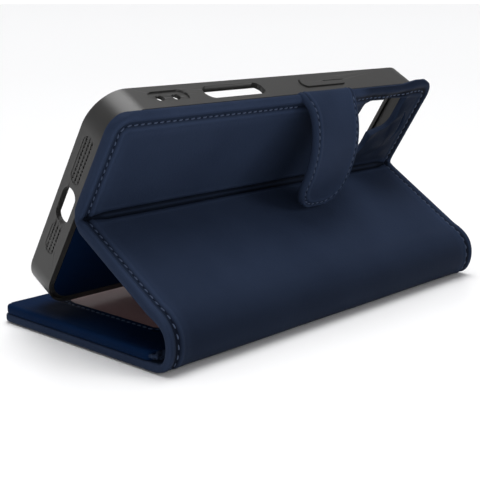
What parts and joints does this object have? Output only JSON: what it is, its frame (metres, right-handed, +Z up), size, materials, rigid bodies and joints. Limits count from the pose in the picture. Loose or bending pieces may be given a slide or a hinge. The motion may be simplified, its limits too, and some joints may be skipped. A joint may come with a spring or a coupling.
{
  "type": "phone wallet case",
  "caption": "Folding leather phone case with a soft phone shell, card flap, ID window and closing strap, folded into its landscape stand pose.",
  "frame": {"origin": "centre of the bounding box at the underside of the card flap", "axes": "+X along the case towards the camera end, -Y towards the spine, +Z up"},
  "size_m": [0.161, 0.0806, 0.0788],
  "materials": {
    "leather": "grained, satin",
    "lining": "smooth, matte",
    "board": "plain",
    "tpu": "satin, soft-touch",
    "film": "clear, glossy",
    "taupe": "fine, matte",
    "steel": "plated",
    "glue": "matte"
  },
  "bodies": {
    "flap": {"flap_outer_leather": "leather", "flap_board": "board", "flap_keeper_plate": "steel", "flap_lining": "lining", "flap_module_binding": "leather", "cash_pocket_panel": "lining", "card_slot_rear": "lining", "card_slot_front": "lining", "id_window_frame": "leather", "id_card_backing": "taupe", "id_window_film": "film"},
    "spine_lower": {"spine_lower_band": "leather"},
    "spine_upper": {"spine_upper_band": "leather"},
    "lower_panel": {"lower_outer_leather": "leather", "lower_board": "board", "lower_lining": "lining"},
    "upper_panel": {"upper_outer_leather": "leather", "upper_board": "board", "upper_glue_pad": "glue", "strap_tail": "leather", "phone_shell": "tpu", "shell_back_skin": "lining"},
    "strap": {"strap_outer": "leather", "strap_core": "board", "strap_magnet": "steel", "strap_lining": "lining"},
    "power_button": {"power_button_pad": "tpu"},
    "action_button": {"action_button_pad": "tpu"},
    "volume_up": {"volume_up_pad": "tpu"},
    "volume_down": {"volume_down_pad": "tpu"}
  },
  "joints": [
    {"name": "cover_unfold", "type": "hinge", "parent": "flap", "child": "spine_lower", "pos_m": [0, -0.0362, 0.0014], "axis": [1, 0, 0], "range_deg": [0, 64.09]},
    {"name": "spine_flatten", "type": "hinge", "parent": "spine_lower", "child": "spine_upper", "pos_m": [0, -0.0396, 0.0084], "axis": [1, 0, 0], "range_deg": [0, 52.12]},
    {"name": "shoulder_unfold", "type": "hinge", "parent": "spine_upper", "child": "lower_panel", "pos_m": [0, -0.0362, 0.01531], "axis": [1, 0, 0], "range_deg": [0, 30.8]},
    {"name": "crease_unfold", "type": "hinge", "parent": "lower_panel", "child": "upper_panel", "pos_m": [0, -0.0009, 0.0399], "axis": [1, 0, 0], "range_deg": [-88.1, 0]},
    {"name": "strap_swing", "type": "hinge", "parent": "upper_panel", "child": "strap", "pos_m": [0.0152, -0.01907, 0.07273], "axis": [-1, 0, 0], "range_deg": [0, 140]},
    {"name": "power_button_press", "type": "slide", "parent": "upper_panel", "child": "power_button", "axis": [0, 0.5165, -0.8563], "range_m": [0, 0.0004], "stiffness_N_per_m": 800, "springref_m": -0.0003},
    {"name": "action_button_press", "type": "slide", "parent": "upper_panel", "child": "action_button", "axis": [0, -0.5165, 0.8563], "range_m": [0, 0.0004], "stiffness_N_per_m": 800, "springref_m": -0.0003},
    {"name": "volume_up_press", "type": "slide", "parent": "upper_panel", "child": "volume_up", "axis": [0, -0.5165, 0.8563], "range_m": [0, 0.0004], "stiffness_N_per_m": 800, "springref_m": -0.0003},
    {"name": "volume_down_press", "type": "slide", "parent": "upper_panel", "child": "volume_down", "axis": [0, -0.5165, 0.8563], "range_m": [0, 0.0004], "stiffness_N_per_m": 800, "springref_m": -0.0003}
  ],
  "couplings": [
    {"joint": "spine_flatten", "follows": "cover_unfold", "ratio": 0.81311},
    {"joint": "shoulder_unfold", "follows": "cover_unfold", "ratio": 0.48041},
    {"joint": "crease_unfold", "follows": "cover_unfold", "ratio": -1.3746}
  ]
}
